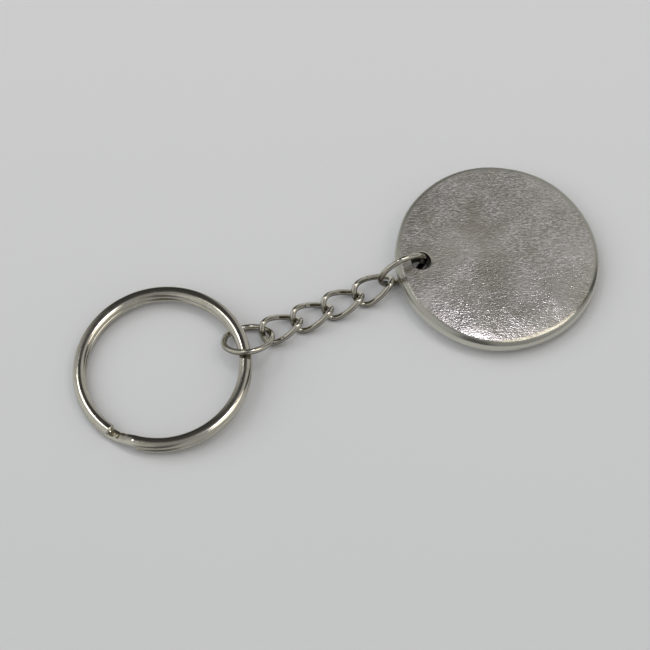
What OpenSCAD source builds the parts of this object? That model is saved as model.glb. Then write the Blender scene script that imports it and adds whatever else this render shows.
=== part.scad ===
// Keychain: a plain round pewter tag, four curb chain links, two jump rings
// and a flat-wire split ring, lying on a table as one flat row.
//
// Millimetres. +X runs from the split ring to the tag, +Z is up and Z = 0 is
// the table. The origin is on the table, under the middle of the row.
// Every wire is round except the split ring's, which is rolled flat.

/* [Split ring] */
// Outside diameter of the split ring
ring_od = 30; // [28:0.5:32]
// Width of its flat wire, across the ring
ring_wire_w = 2.1; // [1.6:0.1:2.4]
// Thickness of its flat wire, one coil
ring_wire_t = 1.2; // [1:0.05:1.3]
// Air between the two coils
coil_gap = 0.1; // [0.05:0.05:0.3]
// How far the chain side of the ring is propped up, in degrees
ring_tilt = 4; // [2:0.5:6]

/* [Jump rings] */
// Outside diameter of both jump rings
jump_od = 9.25; // [9:0.05:9.5]
// Diameter of their wire
jump_wire = 1.05; // [0.9:0.05:1.15]
// Opening where the ends of the wire meet, in degrees
jump_gap = 3; // [2:1:6]

/* [Chain links] */
// Outside length of a link
link_len = 7.85; // [7.8:0.05:8]
// Outside width of a link, before the twist
link_w = 5.05; // [4.9:0.05:5.2]
// Diameter of the link wire
link_wire = 1; // [0.9:0.05:1]
// Distance from one link to the next
link_pitch = 5.75; // [5.6:0.05:5.8]
// How far the twist lifts or lowers the corners of a link
link_twist = 1.15; // [1.1:0.05:1.3]

/* [Tag] */
// Diameter of the tag
tag_d = 35; // [30:0.5:38]
// Thickness of the tag
tag_t = 3.6; // [3:0.1:4]
// Radius of the rounding on both rims
tag_rim = 1; // [0.5:0.1:1.4]
// Diameter of the hole
hole_d = 3.3; // [3.2:0.1:4]
// Distance from the rim to the centre of the hole
hole_inset = 4.25; // [4:0.05:4.5]
// Chamfer where the hole breaks through either face
hole_chamfer = 0.2; // [0.1:0.05:0.4]
// How far the tag is propped up by the jump ring under it, in degrees
tag_tilt = 3; // [2:0.5:4]

/* [Row on the table] */
// Distance from the middle of the split ring to the middle of the tag
row_len = 60.1; // [59:0.1:61]
// Direction in which the chain runs, in degrees from +X
chain_yaw = 5; // [4:0.5:6]

/* [Hidden] */

nickel = "#b8b6a6";
pewter = "#8f8d85";
ring_r = ring_od / 2;
tag_r = tag_d / 2;
jump_r = (jump_od - jump_wire) / 2;
link_count = 4;

// The row's overall length sets where the split ring and the tag lie, so that
// the origin stays under the middle.
ring_x = -(row_len + tag_r - ring_r) / 2;
tag_x = ring_x + row_len;

// Split ring: one wire, two coils. It starts on the lower coil, rises to the
// upper one over the joggle and stops one coil later, above its own start.
coil_rise = (ring_wire_t + coil_gap) / 2;
joggle_from = 574;
joggle_to = 592;
wire_from = 234;
wire_to = 934;
coil_step = 4;
coil_sides = 12;
coil_square = 3;

// Direction in which the split ring is propped up, from +X.
ring_prop_dir = -9;
ring_stack = 2 * coil_rise + ring_wire_t;
ring_z = ring_stack / 2 + ring_r * sin(ring_tilt);

// Tag: the hole points at the chain and its side is the raised one.
hole_dir = 167.5;
hole_r = tag_r - hole_inset;
tag_z = tag_t / 2 + (tag_r - tag_rim) * sin(tag_tilt);
cut = 1;

// Resting place of each jump ring: centre, and turns about X then Z.
ring_jump_at = [ring_x + 15.05, -0.15, 3.03];
ring_jump_turn = [-33.5, 0, -7.5];
tag_jump_at = [tag_x - 16.35, 2.5, 4.65];
tag_jump_turn = [93, 0, 6];
// Where the opening of each ring sits around its own circle.
ring_jump_open = 150;
tag_jump_open = 300;

// Resting place of the links: the row starts at link 1 and runs along
// chain_yaw. The end links lean on the jump rings, so they lie higher.
link_1_at = [ring_x + 21.2, 0.6];
link_z = [2.1, 1.8, 1.8, 2.25];
link_roll = [0, 0, 0, 3];
link_lift = [-2, 0, 1, 8];
link_yaw = [1, 0, 0, 3];
link_steps = 56;
link_sides = 12;
// Exponent of the link's outline: 2 is an ellipse, more is squarer.
link_square = 2.2;

// Signed power, which squares an ellipse off into a superellipse.
function spow(v, e) = sign(v) * pow(abs(v), e);

// Point of a superellipse with half sizes a and b, at angle t.
function squared(a, b, n, t) =
    [a * spow(cos(t), 2 / n), b * spow(sin(t), 2 / n)];

// Ramp from 0 to 1 as t goes from lo to hi, with soft ends.
function ramp(t, lo, hi) =
    let (u = max(0, min(1, (t - lo) / (hi - lo)))) u * u * (3 - 2 * u);

function unit(v) = v / norm(v);

// Quads that skin a stack of rings of n points each. Rings i and i + 1 are
// joined; a closed stack also joins the last ring to the first.
function skin(rings, n, closed) = [
    for (i = [0 : rings - (closed ? 1 : 2)], j = [0 : n - 1])
        let (a = i * n, b = (i + 1) % rings * n, k = (j + 1) % n)
            [a + j, a + k, b + k, b + j]
];

// ---- split ring ----

function coil_z(t) =
    coil_rise * (2 * ramp(t, joggle_from, joggle_to) - 1);

// Section of the flat wire at angle t along the coils.
function coil_section(t) = [
    for (j = [0 : coil_sides - 1])
        let (p = squared(ring_wire_w / 2, ring_wire_t / 2, coil_square,
                         360 * (j + 0.5) / coil_sides),
             r = ring_r - ring_wire_w / 2 + p[0])
            [r * cos(t), r * sin(t), coil_z(t) + p[1]]
];

module split_ring() {
    rings = (wire_to - wire_from) / coil_step + 1;
    points = [
        for (i = [0 : rings - 1]) each coil_section(wire_from + i * coil_step)
    ];
    start_cap = [for (j = [coil_sides - 1 : -1 : 0]) j];
    end_cap = [for (j = [0 : coil_sides - 1]) (rings - 1) * coil_sides + j];
    color(nickel)
        translate([ring_x, 0, ring_z])
            rotate(a = ring_tilt, v = [sin(ring_prop_dir), -cos(ring_prop_dir), 0])
                polyhedron(
                    points,
                    concat([start_cap, end_cap], skin(rings, coil_sides, false)),
                    convexity = 8
                );
}

// ---- jump rings ----

// Round wire bent to a circle in the XY plane, with its ends at angle open.
module jump_ring(open) {
    rotate(open + jump_gap / 2)
        rotate_extrude(angle = 360 - jump_gap, $fn = 96)
            translate([jump_r, 0])
                circle(d = jump_wire, $fn = 32);
}

module ring_jump_ring() {
    color(nickel)
        translate(ring_jump_at)
            rotate(ring_jump_turn)
                jump_ring(ring_jump_open);
}

module tag_jump_ring() {
    color(nickel)
        translate(tag_jump_at)
            rotate(tag_jump_turn)
                jump_ring(tag_jump_open);
}

// ---- chain links ----

// Centre line of a curb link: an oval whose corners are twisted up and down.
function link_line(t) =
    let (p = squared((link_len - link_wire) / 2, (link_w - link_wire) / 2,
                     link_square, t))
        [p[0], p[1], -link_twist * sin(2 * t)];

function link_heading(t) = unit(link_line(t + 1) - link_line(t - 1));

// Round section of the link wire, square to its heading at angle t.
function link_section(t) =
    let (h = link_heading(t), side = unit(cross(h, [0, 0, 1])),
         up = cross(side, h))
        [for (j = [0 : link_sides - 1])
            let (a = 360 * j / link_sides)
                link_line(t) + link_wire / 2 * (side * cos(a) + up * sin(a))];

module curb_link() {
    points = [
        for (i = [0 : link_steps - 1]) each link_section((i + 0.5) * 360 / link_steps)
    ];
    polyhedron(points, skin(link_steps, link_sides, true), convexity = 6);
}

module chain_link(i) {
    color(nickel)
        translate([
            link_1_at[0] + i * link_pitch * cos(chain_yaw),
            link_1_at[1] + i * link_pitch * sin(chain_yaw),
            link_z[i]
        ])
            rotate([link_roll[i], -link_lift[i], chain_yaw + link_yaw[i]])
                curb_link();
}

// ---- tag ----

// Half section of the tag, before it is spun: a slab with rounded rims.
module tag_profile() {
    translate([0, tag_rim - tag_t / 2])
        square([tag_r, tag_t - 2 * tag_rim]);
    translate([0, -tag_t / 2])
        square([tag_r - tag_rim, tag_t]);
    for (side = [-1, 1])
        translate([tag_r - tag_rim, side * (tag_t / 2 - tag_rim)])
            circle(r = tag_rim, $fn = 48);
}

// The hole, with a small chamfer at both faces.
module tag_hole() {
    cylinder(d = hole_d, h = tag_t + 2 * cut, center = true, $fn = 64);
    for (side = [0, 180])
        rotate([side, 0, 0])
            translate([0, 0, tag_t / 2 - hole_chamfer])
                cylinder(
                    d1 = hole_d, d2 = hole_d + 4 * hole_chamfer,
                    h = 2 * hole_chamfer, $fn = 64
                );
}

module tag_disc() {
    color(pewter)
        translate([tag_x, 0, tag_z])
            rotate(a = tag_tilt, v = [sin(hole_dir), -cos(hole_dir), 0])
                rotate(hole_dir)
                    difference() {
                        rotate_extrude($fn = 180)
                            tag_profile();
                        translate([hole_r, 0, 0])
                            tag_hole();
                    }
}

split_ring();
ring_jump_ring();
for (i = [0 : link_count - 1])
    chain_link(i);
tag_jump_ring();
tag_disc();
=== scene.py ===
"""Looks of the keychain: nickel wire pieces and a pewter tag, on a pale floor.

Shapes are worked out in millimetres and degrees, with the sizes and resting
places of the CAD part, and are turned to metres when a mesh is made. The
shaders' own coordinates are in metres.
"""

import math
import random

import bmesh
import bpy
import numpy as np
from mathutils import Matrix, Vector


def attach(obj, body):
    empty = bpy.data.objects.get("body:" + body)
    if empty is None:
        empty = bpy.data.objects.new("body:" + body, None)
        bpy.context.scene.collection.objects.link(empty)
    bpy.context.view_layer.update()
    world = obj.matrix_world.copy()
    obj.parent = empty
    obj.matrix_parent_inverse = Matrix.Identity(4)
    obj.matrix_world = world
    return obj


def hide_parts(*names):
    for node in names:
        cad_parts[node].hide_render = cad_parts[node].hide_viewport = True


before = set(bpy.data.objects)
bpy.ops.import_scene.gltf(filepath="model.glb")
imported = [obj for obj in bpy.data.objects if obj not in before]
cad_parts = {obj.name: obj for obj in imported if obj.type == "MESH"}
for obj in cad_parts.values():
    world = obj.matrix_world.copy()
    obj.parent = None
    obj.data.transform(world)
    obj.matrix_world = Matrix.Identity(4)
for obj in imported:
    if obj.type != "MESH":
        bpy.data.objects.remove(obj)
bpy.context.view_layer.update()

MM = 0.001
SEED = 41

# Split ring: one flat wire wound into two coils.
RING_R = 15.0
RING_WIRE_W = 2.1
RING_WIRE_T = 1.2
# Exponent of the flat wire's section: 2 is an ellipse, more is squarer.
RING_SQUARE = 2.3
COIL_RISE = 0.65
COIL_FROM = 234
COIL_TO = 934
JOGGLE_FROM = 574
JOGGLE_TO = 592
RING_TILT = 4
RING_PROP_DIR = -9
RING_AT = (-31.3, 0.0, 2.296)

# Jump rings: round wire, each with one opening.
JUMP_R = 4.1
JUMP_WIRE = 1.05
JUMP_GAP = 3
RING_JUMP_AT = (-16.25, -0.15, 3.03)
RING_JUMP_TURN = (-33.5, 0, -7.5)
RING_JUMP_OPEN = 150
TAG_JUMP_AT = (12.45, 2.5, 4.65)
TAG_JUMP_TURN = (93, 0, 6)
TAG_JUMP_OPEN = 300

# Chain links: round wire bent to an oval and twisted.
LINK_COUNT = 4
LINK_HALF_LEN = 3.425
LINK_HALF_W = 2.025
LINK_WIRE = 1.0
LINK_TWIST = 1.15
LINK_PITCH = 5.75
LINK_SQUARE = 2.2
CHAIN_YAW = 5
LINK_1_AT = (-10.1, 0.6)
LINK_Z = (2.1, 1.8, 1.8, 2.25)
LINK_ROLL = (0, 0, 0, 3)
LINK_LIFT = (-2, 0, 1, 8)
LINK_YAW = (1, 0, 0, 3)

# Tag: a round slab with rounded rims and one hole near its edge.
TAG_R = 17.5
TAG_T = 3.6
TAG_TILT = 3
TAG_AT = (28.8, 0.0, 2.664)
# How far the rounding of the rims reaches inwards (wide) and towards the middle plane (deep),
# on the side that was rubbed down least (new) and on the side that was rubbed down most (worn).
SHOULDER_WIDE_NEW = 0.75
SHOULDER_WIDE_WORN = 1.5
SHOULDER_DEEP_NEW = 0.75
SHOULDER_DEEP_WORN = 1.1
# Small flats on the rim: direction and width in degrees, and depth.
RIM_FLATS = ((183, 9, 0.12), (207, 7, 0.08), (148, 10, 0.1), (62, 12, 0.05))
RIM_INSET = 0.06
# Faces: how far they lie inside the slab, the height of the dome, how far the rubbed side is
# rolled over, and the height of the slow and of the quick unevenness.
FACE_INSET = 0.05
FACE_DOME = 0.10
FACE_ROLL = 0.48
FACE_SLOW = 0.024
FACE_QUICK = 0.0055
# Hole: its place from the middle of the tag, and how far its edge is out of round.
HOLE_R = 1.65
HOLE_DIR = 167.5
HOLE_FROM_MIDDLE = 13.25
HOLE_BURR = 0.05
# The middle of the hole where the tag lies, at half its thickness.
HOLE_AT = (15.88, 2.86, 3.36)

# Rubbing: its direction, and the side of the tag that was rubbed down most.
RUB_DIR = -20
RUBBED_SIDE = -105
# Across the rubbing, the polish is full up to one place and gone from the other, and smears
# shift it by so much. Along the rubbing, it is weak up to one place and full from the other.
POLISH_FULL = -2
POLISH_GONE = 14
POLISH_SMEAR = 3
POLISH_WEAK_ALONG = 12
POLISH_FULL_ALONG = 22
# The rim's finish starts and is full at these distances from the middle of the tag, and the
# painted shade in the hole is full and gone at these distances from the middle of the hole.
RIM_STARTS = 16.2
RIM_FULL = 17.1
HOLE_SHADE_FULL = 2.28
HOLE_SHADE_GONE = 2.42

# Floor: half its side, and how far either side of the middle its painted shade fades, in metres.
FLOOR_HALF = 3.0
FLOOR_SHADING = 0.07

# Camera: where it stands, in degrees and metres, what it looks at, and its lens and sensor.
CAMERA_AZIMUTH = -20.18
CAMERA_ELEVATION = 63
CAMERA_DISTANCE = 0.392
CAMERA_AIM = (-2.65, -0.62, 0)
CAMERA_LENS = 128.08
CAMERA_SENSOR = 36

# Room: direction from +X, and how bright it is there, all the way round.
ROOM = (
    (-180, 0.50), (-150, 0.46), (-132, 0.10), (-114, 0.10), (-100, 0.32), (-80, 0.30),
    (-60, 0.36), (-35, 0.42), (-20, 0.40), (-8, 0.05), (2, 0.05), (10, 0.36), (25, 0.42),
    (55, 0.34), (66, 0.04), (100, 0.04), (116, 0.30), (150, 0.52),
)
# Ceiling: how bright it is, and the height of a direction, 1 being straight up, at which it
# starts and is full.
CEILING = 0.24
CEILING_STARTS = 0.906
CEILING_FULL = 0.985


# ---- turning and placing ----


def turned_xyz(degrees):
    """Rotation by three angles about X, then Y, then Z."""
    x, y, z = (math.radians(d) for d in degrees)
    return (
        Matrix.Rotation(z, 3, "Z") @ Matrix.Rotation(y, 3, "Y") @ Matrix.Rotation(x, 3, "X")
    )


def tipped(direction, degrees):
    """Rotation that raises the side lying in a direction from +X."""
    a = math.radians(direction)
    return Matrix.Rotation(math.radians(degrees), 3, Vector((math.sin(a), -math.cos(a), 0)))


def placed(points, turn, at):
    """Points in millimetres, turned and moved to their resting place, in metres."""
    return (points @ np.array(turn).T + np.array(at)) * MM


# ---- meshes ----


def loft(name, stack, material, closed=False, wire=None):
    """Mesh skinned over a stack of closed sections: an array of sections, points, xyz in metres.
    wire, of the same shape, is kept as each point's place across and along its wire."""
    count, points = stack.shape[:2]
    faces = []
    for i in range(count if closed else count - 1):
        a = i * points
        b = (i + 1) % count * points
        for j in range(points):
            k = (j + 1) % points
            faces.append((a + j, a + k, b + k, b + j))
    if not closed:
        faces.append(tuple(range(points - 1, -1, -1)))
        faces.append(tuple((count - 1) * points + j for j in range(points)))
    mesh = bpy.data.meshes.new(name)
    mesh.from_pydata(stack.reshape(-1, 3).tolist(), [], faces)
    bm = bmesh.new()
    bm.from_mesh(mesh)
    bmesh.ops.recalc_face_normals(bm, faces=bm.faces)
    bm.to_mesh(mesh)
    bm.free()
    mesh.shade_smooth()
    if wire is not None:
        layer = mesh.attributes.new("wire", "FLOAT_VECTOR", "POINT")
        layer.data.foreach_set("vector", wire.reshape(-1).astype(np.float32))
    mesh.materials.append(material)
    piece = bpy.data.objects.new(name, mesh)
    bpy.context.scene.collection.objects.link(piece)
    return piece


def superellipse(a, b, power, angles):
    """Points of an oval with half sizes a and b: power 2 is an ellipse, more is squarer."""
    c, s = np.cos(angles), np.sin(angles)
    return (
        a * np.sign(c) * np.abs(c) ** (2 / power),
        b * np.sign(s) * np.abs(s) ** (2 / power),
    )


def smooth_ramp(t, lo, hi):
    """0 below lo, 1 above hi, with soft ends."""
    u = np.clip((t - lo) / (hi - lo), 0, 1)
    return u * u * (3 - 2 * u)


class Waves:
    """Smooth seeded unevenness: a sum of sine waves in random directions."""

    def __init__(self, seed, shortest, longest, count):
        rng = random.Random(seed)
        self.waves = []
        for _ in range(count):
            way = rng.uniform(0, 2 * math.pi)
            length = rng.uniform(shortest, longest)
            phase = rng.uniform(0, 2 * math.pi)
            k = 2 * math.pi / length
            self.waves.append((k * math.cos(way), k * math.sin(way), phase))

    def at(self, x, y):
        total = sum(np.sin(kx * x + ky * y + phase) for kx, ky, phase in self.waves)
        return total / math.sqrt(len(self.waves))


# ---- split ring ----


def make_split_ring(material):
    """Two coils of flat wire. The cut ends are rounded over, and the joggle is crimped."""
    sides = 36
    step = 1.25
    rounding = 0.22
    crimp_starts = (JOGGLE_FROM - 3, JOGGLE_FROM + 4)
    crimp_ends = (JOGGLE_TO - 7, JOGGLE_TO + 1)
    crimp_narrows = 0.06
    dent_depth = 0.09
    dent_spacing = 5.2
    bend = 0.02
    around = 2 * np.pi * (np.arange(sides) + 0.5) / sides
    px, pz = superellipse(RING_WIRE_W / 2, RING_WIRE_T / 2, RING_SQUARE, around)
    mid_r = RING_R - RING_WIRE_W / 2
    steps = int(round((COIL_TO - COIL_FROM) / step))
    end_angle = math.degrees(rounding / mid_r)
    # each cut end: places along its rounding, and how big the section is there
    cut = [(0.0, 0.68), (0.3, 0.86), (0.62, 0.96), (1.0, 1.0)]
    rows = [(COIL_FROM + u * end_angle, s) for u, s in cut]
    rows += [(COIL_FROM + step * i, 1.0) for i in range(1, steps)]
    rows += [(COIL_TO - u * end_angle, s) for u, s in reversed(cut)]
    stack = []
    wire = []
    uneven = Waves(SEED, 8, 30, 6)
    for deg, s in rows:
        t = math.radians(deg)
        rise = COIL_RISE * (2 * float(smooth_ramp(deg, JOGGLE_FROM, JOGGLE_TO)) - 1)
        along = t * mid_r
        # crimp marks: a few shallow dents across the wire where it was pressed
        pressed = float(smooth_ramp(deg, *crimp_starts))
        pressed *= 1 - float(smooth_ramp(deg, *crimp_ends))
        turns = (deg - JOGGLE_FROM) / dent_spacing
        dent = dent_depth * pressed * (0.5 + 0.5 * math.cos(2 * math.pi * turns))
        narrow = 1 - crimp_narrows * pressed
        wobble = bend * float(uneven.at(along, 0.0))
        r = mid_r + wobble + px * s * narrow
        z = rise + pz * s * (1 - dent / (RING_WIRE_T / 2) * (pz > 0))
        stack.append(np.stack([r * math.cos(t), r * math.sin(t), z], -1))
        wire.append(np.stack([px, pz, np.full(sides, along)], -1) * MM)
    stack = placed(np.array(stack), tipped(RING_PROP_DIR, RING_TILT), RING_AT)
    piece = loft("split_ring_wire", stack, material, wire=np.array(wire))
    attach(piece, "split_ring")
    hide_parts("split_ring")


# ---- jump rings ----


def make_jump_ring(name, body, open_at, turn, at, material, seed):
    """Round wire bent to a circle. Its two cut ends almost meet, a little out of line."""
    sides = 28
    bends = 150
    rounding = 0.12
    offset = 0.05
    bend = 0.015
    # thinner by what the wire bends, so that it stays inside its solid's bounds
    radius = JUMP_WIRE / 2 - bend
    start = open_at + JUMP_GAP / 2
    sweep = 360 - JUMP_GAP
    end_angle = math.degrees(rounding / JUMP_R)
    # each cut end: places along its rounding, and how big the section is there
    cut = [(0.0, 0.78), (0.35, 0.92), (1.0, 1.0)]
    rows = [(start + u * end_angle, s) for u, s in cut]
    rows += [(start + sweep * i / bends, 1.0) for i in range(2, bends - 1)]
    rows += [(start + sweep - u * end_angle, s) for u, s in reversed(cut)]
    around = 2 * np.pi * np.arange(sides) / sides
    uneven = Waves(seed, 5, 14, 5)
    stack = []
    wire = []
    for deg, s in rows:
        t = math.radians(deg)
        u = (deg - start) / sweep
        side_step = offset * (u - 0.5) * abs(2 * u - 1) ** 3
        along = t * JUMP_R
        wobble = bend * float(uneven.at(along, 0.0))
        px, pz = radius * np.cos(around), radius * np.sin(around)
        r = JUMP_R + wobble + px * s
        stack.append(np.stack([r * math.cos(t), r * math.sin(t), side_step + pz * s], -1))
        wire.append(np.stack([px, pz, np.full(sides, along)], -1) * MM)
    stack = placed(np.array(stack), turned_xyz(turn), at)
    piece = loft(name, stack, material, wire=np.array(wire))
    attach(piece, body)
    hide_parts(body)


# ---- chain links ----


def link_line(t):
    """Centre line of a link: an oval whose corners are twisted up and down."""
    x, y = superellipse(LINK_HALF_LEN, LINK_HALF_W, LINK_SQUARE, t)
    return np.stack([x, y, -LINK_TWIST * np.sin(2 * t)], -1)


def make_chain_link(i, material):
    """One curb link of round wire. A butt seam crosses one of its sides, each side in turn."""
    bends = 176
    sides = 22
    seam_at = math.radians(96 if i % 2 else 264)
    seam_depth = 0.05
    seam_width = 0.035
    nearby = 0.01
    t = 2 * np.pi * (np.arange(bends) + 0.5) / bends
    middle = link_line(t)
    heading = link_line(t + nearby) - link_line(t - nearby)
    heading /= np.linalg.norm(heading, axis=1, keepdims=True)
    side = np.cross(heading, [0.0, 0.0, 1.0])
    side /= np.linalg.norm(side, axis=1, keepdims=True)
    up = np.cross(side, heading)
    around = 2 * np.pi * np.arange(sides) / sides
    length = np.linalg.norm(np.roll(middle, -1, 0) - middle, axis=1).cumsum()
    folded = np.abs(length - length[-1] / 2)
    from_seam = np.abs((t - seam_at + np.pi) % (2 * np.pi) - np.pi)
    groove = seam_depth * np.exp(-((from_seam / seam_width) ** 2))
    radius = LINK_WIRE / 2 - groove
    across = radius[:, None] * np.cos(around)
    height = radius[:, None] * np.sin(around)
    stack = middle[:, None] + side[:, None] * across[..., None] + up[:, None] * height[..., None]
    wire = np.stack([across, height, np.broadcast_to(folded[:, None], across.shape)], -1) * MM
    yaw = math.radians(CHAIN_YAW)
    at = (
        LINK_1_AT[0] + i * LINK_PITCH * math.cos(yaw),
        LINK_1_AT[1] + i * LINK_PITCH * math.sin(yaw),
        LINK_Z[i],
    )
    turn = turned_xyz((LINK_ROLL[i], -LINK_LIFT[i], CHAIN_YAW + LINK_YAW[i]))
    body = f"chain_link_{i + 1}"
    piece = loft(f"curb_link_{i + 1}", placed(stack, turn, at), material, closed=True, wire=wire)
    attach(piece, body)
    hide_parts(body)


# ---- tag ----


def tag_rim_radius(u):
    """Outline of the tag in direction u: nearly round, with a few small flats."""
    r = TAG_R - RIM_INSET - 0.035 * np.sin(3 * u + 0.7) - 0.03 * np.sin(5 * u + 2.1)
    for middle, width, depth in RIM_FLATS:
        off = (np.degrees(u) - middle + 180) % 360 - 180
        r = r - depth * np.exp(-((off / width) ** 2))
    return r


def rubbed_down(u):
    """How much the tag was rubbed down in direction u: 1 on the side rubbed most, 0 opposite."""
    return 0.5 + 0.5 * np.cos(u - math.radians(RUBBED_SIDE))


def tag_face_height(x, y):
    """Height of either face above the middle plane: gently domed, a little uneven, and rolled
    over towards the rim on the side that was rubbed down most."""
    r = np.hypot(x, y) / TAG_R
    dome = FACE_DOME * r**3 + FACE_ROLL * r**9 * rubbed_down(np.arctan2(y, x))
    slow = Waves(SEED + 1, 5, 16, 12).at(x, y)
    quick = Waves(SEED + 2, 1.4, 3.0, 16).at(x, y)
    flat = TAG_T / 2 - FACE_INSET
    return flat - dome + FACE_SLOW * slow * (0.4 + 0.6 * r) + FACE_QUICK * quick


def make_tag(material):
    """The tag as one closed skin. Each row of points goes once round the section, from the
    hole over one face to the rim and back along the other face."""
    turns = 288
    face_steps = 84
    shoulder_steps = 9
    wall_r = HOLE_R - 0.05
    wall_end = TAG_T / 2 - 0.3
    u = 2 * np.pi * np.arange(turns) / turns
    hole_dir = math.radians(HOLE_DIR)
    hole = HOLE_FROM_MIDDLE * np.array([math.cos(hole_dir), math.sin(hole_dir)])
    way = np.stack([np.cos(u), np.sin(u)], -1)
    rim = tag_rim_radius(u)
    uneven = 1 + 0.10 * np.sin(4 * u + 1.0) + 0.07 * np.sin(7 * u + 0.3)
    worn = rubbed_down(u)
    shoulder = (SHOULDER_WIDE_NEW + (SHOULDER_WIDE_WORN - SHOULDER_WIDE_NEW) * worn) * uneven
    drop = (SHOULDER_DEEP_NEW + (SHOULDER_DEEP_WORN - SHOULDER_DEEP_NEW) * worn) * uneven
    edge_r = HOLE_R + HOLE_BURR * np.sin(2 * u + 1.9)
    columns = []
    for side in (1, -1):
        face = []
        inner = hole + edge_r[:, None] * way
        outer = (rim - shoulder)[:, None] * way
        for k in range(face_steps + 1):
            s = k / face_steps
            xy = inner + (outer - inner) * s
            face.append((xy, side * tag_face_height(xy[:, 0], xy[:, 1])))
        edge_z = face[-1][1]
        curve = []
        for k in range(1, shoulder_steps + 1):
            a = math.radians(90 * k / shoulder_steps)
            out = (rim - shoulder + shoulder * math.sin(a))[:, None] * way
            curve.append((out, edge_z - side * drop * (1 - math.cos(a))))
        columns.append(face + curve)
    hole_wall = [(hole + wall_r * way, np.full(turns, z)) for z in (-wall_end, 0.0, wall_end)]
    loop = columns[0] + list(reversed(columns[1])) + hole_wall
    stack = np.stack([np.concatenate([xy, z[:, None]], 1) for xy, z in loop], 1)
    stack = placed(stack, tipped(HOLE_DIR, TAG_TILT), TAG_AT)
    piece = loft("pewter_tag", stack, material, closed=True)
    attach(piece, "tag_disc")
    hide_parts("tag_disc")


# ---- materials ----


def new_material(name):
    material = bpy.data.materials.new(name)
    material.use_nodes = True
    return material, material.node_tree, material.node_tree.nodes["Principled BSDF"]


class Nodes:
    """Short names for the shader nodes used here, each fed from sockets or plain values."""

    def __init__(self, tree):
        self.tree = tree

    def put(self, kind, settings, inputs):
        node = self.tree.nodes.new(kind)
        for key, value in settings.items():
            setattr(node, key, value)
        for key, value in inputs.items():
            if isinstance(value, bpy.types.NodeSocket):
                self.tree.links.new(value, node.inputs[key])
            else:
                node.inputs[key].default_value = value
        return node

    def sized(self, vector, size, turn=0.0):
        """Coordinates in which one unit is a box of that size in metres, turned about Z."""
        inputs = {"Vector": vector, "Scale": size, "Rotation": (0, 0, math.radians(turn))}
        return self.put("ShaderNodeMapping", {"vector_type": "TEXTURE"}, inputs).outputs["Vector"]

    def noise(self, vector, scale=1.0, detail=2.0, roughness=0.5):
        """Smooth noise with that many lumps to a unit of its coordinates."""
        inputs = {"Vector": vector, "Scale": scale, "Detail": detail, "Roughness": roughness}
        return self.put("ShaderNodeTexNoise", {}, inputs).outputs["Fac"]

    def spread(self, value, lo, hi, to_lo, to_hi):
        """to_lo below lo, to_hi above hi, with a soft change between them."""
        settings = {"interpolation_type": "SMOOTHSTEP"}
        inputs = {"Value": value, "From Min": lo, "From Max": hi, "To Min": to_lo, "To Max": to_hi}
        return self.put("ShaderNodeMapRange", settings, inputs).outputs["Result"]

    def maths(self, operation, a, b):
        return self.put("ShaderNodeMath", {"operation": operation}, {0: a, 1: b}).outputs[0]

    def mix(self, factor, a, b):
        settings = {"data_type": "RGBA"}
        return self.put("ShaderNodeMix", settings, {0: factor, 6: a, 7: b}).outputs[2]

    def distance(self, vector, millimetres):
        """How far a place is from a point given in millimetres."""
        point = [c * MM for c in millimetres]
        settings = {"operation": "DISTANCE"}
        return self.put("ShaderNodeVectorMath", settings, {0: vector, 1: point}).outputs["Value"]

    def bump(self, height, distance, strength, under=None):
        """Relief of that depth in metres, laid over the relief under it."""
        inputs = {"Height": height, "Distance": distance, "Strength": strength}
        if under is not None:
            inputs["Normal"] = under
        return self.put("ShaderNodeBump", {}, inputs).outputs["Normal"]


def nickel_material(name, painted_shade_depth):
    """Polished nickel plate: drawing lines along the wire, fine scuffs and slightly dulled patches.
    The second argument is how dark the painted shade makes the sides and the underside, which face
    away from the light."""
    material, tree, shader = new_material(name)
    n = Nodes(tree)
    wire = n.put("ShaderNodeAttribute", {"attribute_name": "wire"}, {}).outputs["Vector"]
    coordinates = n.put("ShaderNodeTexCoord", {}, {})
    place = coordinates.outputs["Object"]
    facing = n.put("ShaderNodeSeparateXYZ", {}, {"Vector": coordinates.outputs["Normal"]})
    lines = n.noise(n.sized(wire, (0.00016, 0.00016, 0.005)), detail=3.0, roughness=0.6)
    patches = n.noise(place, scale=420.0, detail=3.0, roughness=0.55)
    scuffs = n.noise(n.sized(place, (0.0002, 0.0006, 0.0004), 35), detail=4.0, roughness=0.7)
    ripple = n.noise(place, scale=650.0, detail=1.0)
    bright = (0.78, 0.75, 0.65, 1)
    dulled = (0.68, 0.65, 0.54, 1)
    # colour of the painted shade on the sides and the underside
    underside_shade_colour = (0.10, 0.085, 0.06, 1)
    polished = n.mix(n.spread(patches, 0.42, 0.72, 0.0, 1.0), bright, dulled)
    # painted shade on the sides and the underside, set by the surface's own direction: 1 faces up
    # and 0 sideways
    underside_shade = n.spread(facing.outputs["Z"], 0.08, 0.82, painted_shade_depth, 0.0)
    tree.links.new(n.mix(underside_shade, polished, underside_shade_colour), shader.inputs["Base Color"])
    worn = n.maths("MULTIPLY", n.spread(scuffs, 0.5, 0.8, 0.0, 1.0), 0.07)
    dull = n.spread(patches, 0.35, 0.75, 0.10, 0.16)
    tree.links.new(n.maths("ADD", worn, dull), shader.inputs["Roughness"])
    shader.inputs["Metallic"].default_value = 1.0
    wavy = n.bump(ripple, 0.05 * MM, 0.12)
    drawn = n.bump(lines, 0.005 * MM, 0.4, wavy)
    scratched = n.bump(scuffs, 0.004 * MM, 0.3, drawn)
    tree.links.new(scratched, shader.inputs["Normal"])
    return material


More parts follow.
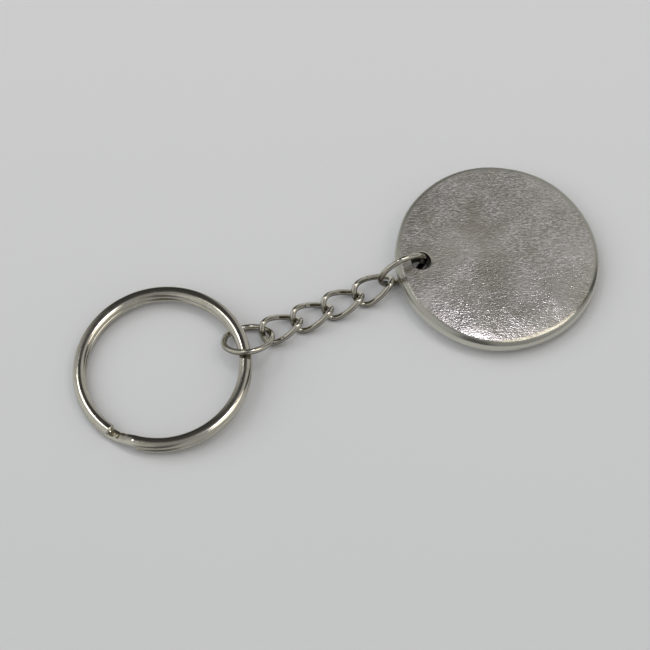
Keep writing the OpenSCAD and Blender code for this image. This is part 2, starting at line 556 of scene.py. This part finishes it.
def pewter_material():
    """Cast pewter, rubbed by hand in one direction: short strokes and flecks, brown blotches and
    pale clouds, dull on the far side and glossier where it was polished on the near side, smooth
    and olive round the rim, with painted shade darkening the inside of the hole."""
    material, tree, shader = new_material("brushed_pewter")
    n = Nodes(tree)
    place = n.put("ShaderNodeTexCoord", {}, {}).outputs["Object"]
    strokes = n.noise(n.sized(place, (0.0007, 0.0003, 0.0006), RUB_DIR), detail=2.0, roughness=0.6)
    flecks = n.noise(n.sized(place, (0.0004, 0.0002, 0.0004), RUB_DIR), detail=1.0, roughness=0.5)
    blotches = n.noise(place, scale=120.0, detail=3.0, roughness=0.6)
    clouds = n.noise(place, scale=75.0, detail=2.0, roughness=0.5)
    smears = n.noise(n.sized(place, (0.009, 0.005, 0.006), RUB_DIR), detail=3.0, roughness=0.6)
    across = n.put("ShaderNodeSeparateXYZ", {}, {"Vector": n.sized(place, (1, 1, 1), RUB_DIR)})
    shift = n.spread(smears, 0.3, 0.7, -POLISH_SMEAR * MM, POLISH_SMEAR * MM)
    edge = n.maths("ADD", across.outputs["Y"], shift)
    side = n.spread(edge, POLISH_FULL * MM, POLISH_GONE * MM, 1.0, 0.0)
    reach = (POLISH_WEAK_ALONG * MM, POLISH_FULL_ALONG * MM)
    near = n.maths("MULTIPLY", side, n.spread(across.outputs["X"], *reach, 0.25, 1.0))
    rim = n.spread(n.distance(place, TAG_AT), RIM_STARTS * MM, RIM_FULL * MM, 0.0, 1.0)
    face = n.maths("SUBTRACT", 1.0, rim)
    pale = (0.86, 0.84, 0.785, 1)
    dark = (0.40, 0.385, 0.34, 1)
    brown = (0.40, 0.37, 0.30, 1)
    olive = (0.60, 0.595, 0.52, 1)
    hole_shade_colour = (0.015, 0.013, 0.011, 1)
    rubbed = n.mix(n.spread(strokes, 0.32, 0.68, 0.0, 1.0), dark, pale)
    flecked = n.mix(n.spread(flecks, 0.50, 0.64, 0.0, 0.85), rubbed, dark)
    tinted = n.mix(n.spread(blotches, 0.42, 0.66, 0.0, 0.8), flecked, brown)
    clouded = n.mix(n.spread(clouds, 0.45, 0.65, 0.0, 0.35), tinted, pale)
    edged = n.mix(rim, clouded, olive)
    # painted shade: near black inside the hole, where the deep hole lies in shadow
    hole_shade = n.spread(n.distance(place, HOLE_AT), HOLE_SHADE_FULL * MM, HOLE_SHADE_GONE * MM, 0.97, 0.0)
    tree.links.new(n.mix(hole_shade, edged, hole_shade_colour), shader.inputs["Base Color"])
    grainy = n.spread(flecks, 0.35, 0.70, -0.05, 0.08)
    on_face = n.maths("ADD", n.spread(near, 0.0, 1.0, 0.38, 0.20), grainy)
    on_rim = n.spread(side, 0.0, 1.0, 0.50, 0.20)
    face_part = n.maths("MULTIPLY", on_face, face)
    rim_part = n.maths("MULTIPLY", on_rim, rim)
    tree.links.new(n.maths("ADD", face_part, rim_part), shader.inputs["Roughness"])
    shader.inputs["Metallic"].default_value = 1.0
    deep = n.maths("MULTIPLY", n.spread(near, 0.0, 1.0, 0.85, 0.75), face)
    stroked = n.bump(strokes, 0.04 * MM, deep)
    pitted = n.bump(flecks, 0.04 * MM, deep, stroked)
    tree.links.new(pitted, shader.inputs["Normal"])
    return material


# ---- floor, light and camera ----


def make_floor():
    """A plain pale floor with painted shade: its colour turns a little darker towards the camera.
    """
    half = FLOOR_HALF
    corners = [(-half, -half, 0), (half, -half, 0), (half, half, 0), (-half, half, 0)]
    mesh = bpy.data.meshes.new("floor")
    mesh.from_pydata(corners, [], [(0, 1, 2, 3)])
    material, tree, shader = new_material("pale_floor")
    n = Nodes(tree)
    place = n.put("ShaderNodeTexCoord", {}, {}).outputs["Object"]
    turned = n.sized(place, (1, 1, 1), CAMERA_AZIMUTH)
    away = n.put("ShaderNodeSeparateXYZ", {}, {"Vector": turned}).outputs["Y"]
    near = (0.80, 0.812, 0.815, 1)
    far = (0.885, 0.89, 0.90, 1)
    # painted shade: the light's falloff towards the camera, painted as a darker floor colour
    shading = n.spread(away, -FLOOR_SHADING, FLOOR_SHADING, 0.0, 1.0)
    tree.links.new(n.mix(shading, near, far), shader.inputs["Base Color"])
    shader.inputs["Roughness"].default_value = 0.6
    mesh.materials.append(material)
    floor = bpy.data.objects.new("floor", mesh)
    bpy.context.scene.collection.objects.link(floor)


def aimed(obj, at, target):
    """Stands a lamp or camera at a place, looking at a target, both in metres."""
    obj.location = at
    obj.rotation_euler = (Vector(target) - Vector(at)).to_track_quat("-Z", "Y").to_euler()
    bpy.context.scene.collection.objects.link(obj)


def make_camera():
    data = bpy.data.cameras.new("camera")
    data.sensor_width = CAMERA_SENSOR
    data.lens = CAMERA_LENS
    camera = bpy.data.objects.new("camera", data)
    aim = Vector(CAMERA_AIM) * MM
    turn = Matrix.Rotation(math.radians(CAMERA_AZIMUTH), 3, "Z")
    elevation = math.radians(CAMERA_ELEVATION)
    back = turn @ Vector((0, -math.cos(elevation), math.sin(elevation)))
    aimed(camera, aim + CAMERA_DISTANCE * back, aim)
    bpy.context.scene.camera = camera


def make_room():
    """Soft surroundings: pale walls with darker gaps, and a dim ceiling."""
    world = bpy.data.worlds.new("room")
    bpy.context.scene.world = world
    world.use_nodes = True
    tree = world.node_tree
    n = Nodes(tree)
    way = n.put("ShaderNodeTexCoord", {}, {}).outputs["Generated"]
    around = n.put("ShaderNodeTexGradient", {"gradient_type": "RADIAL"}, {"Vector": way})
    ramp = n.put("ShaderNodeValToRGB", {}, {"Fac": around.outputs["Fac"]})
    stops = ramp.color_ramp.elements
    stops[0].position = 0.0
    stops[1].position = 1.0
    for direction, level in ROOM[1:]:
        stops.new((direction + 180) / 360).color = (level, level, level, 1)
    for stop in (stops[0], stops[len(stops) - 1]):
        stop.color = (ROOM[0][1], ROOM[0][1], ROOM[0][1], 1)
    height = n.put("ShaderNodeSeparateXYZ", {}, {"Vector": way}).outputs["Z"]
    ceiling = n.spread(height, CEILING_STARTS, CEILING_FULL, 0.0, 1.0)
    colour = n.mix(ceiling, ramp.outputs["Color"], (CEILING, CEILING, CEILING, 1))
    tree.links.new(colour, tree.nodes["Background"].inputs["Color"])


def make_soft_light(name, direction, from_zenith, spread, power, colour):
    """A far soft light: where it stands, how wide it looks, and how much it lights the table."""
    data = bpy.data.lights.new(name, "SUN")
    data.angle = math.radians(spread)
    data.energy = power
    data.color = colour
    lamp = bpy.data.objects.new(name, data)
    a, p = math.radians(direction), math.radians(from_zenith)
    at = Vector((math.cos(a) * math.sin(p), math.sin(a) * math.sin(p), math.cos(p)))
    aimed(lamp, at, (0, 0, 0))
    return lamp


def make_lights():
    bpy.context.scene.view_settings.view_transform = "Standard"
    make_room()
    make_soft_light("left_softbox", 118, 29, 9, 0.08, (1.0, 0.99, 0.96))
    make_soft_light("right_softbox", -30, 27, 30, 0.27, (1.0, 0.93, 0.80))
    make_soft_light("overhead_softbox", 30, 10, 10, 0.17, (0.90, 0.86, 1.0))
    fill = make_soft_light("table_fill", 155, 32, 75, 0.91, (0.98, 0.995, 1.0))
    fill.visible_glossy = False


# both nickels carry painted shade on their sides and undersides, the small pieces more
ring_nickel = nickel_material("polished_nickel", 0.55)
chain_nickel = nickel_material("underside_shaded_nickel", 0.92)
pewter = pewter_material()
make_split_ring(ring_nickel)
make_jump_ring(
    "jump_ring_by_split_ring", "ring_jump_ring",
    RING_JUMP_OPEN, RING_JUMP_TURN, RING_JUMP_AT,
    chain_nickel, SEED + 3,
)
make_jump_ring(
    "jump_ring_by_tag", "tag_jump_ring",
    TAG_JUMP_OPEN, TAG_JUMP_TURN, TAG_JUMP_AT,
    chain_nickel, SEED + 4,
)
for index in range(LINK_COUNT):
    make_chain_link(index, chain_nickel)
make_tag(pewter)
make_floor()
make_lights()
make_camera()
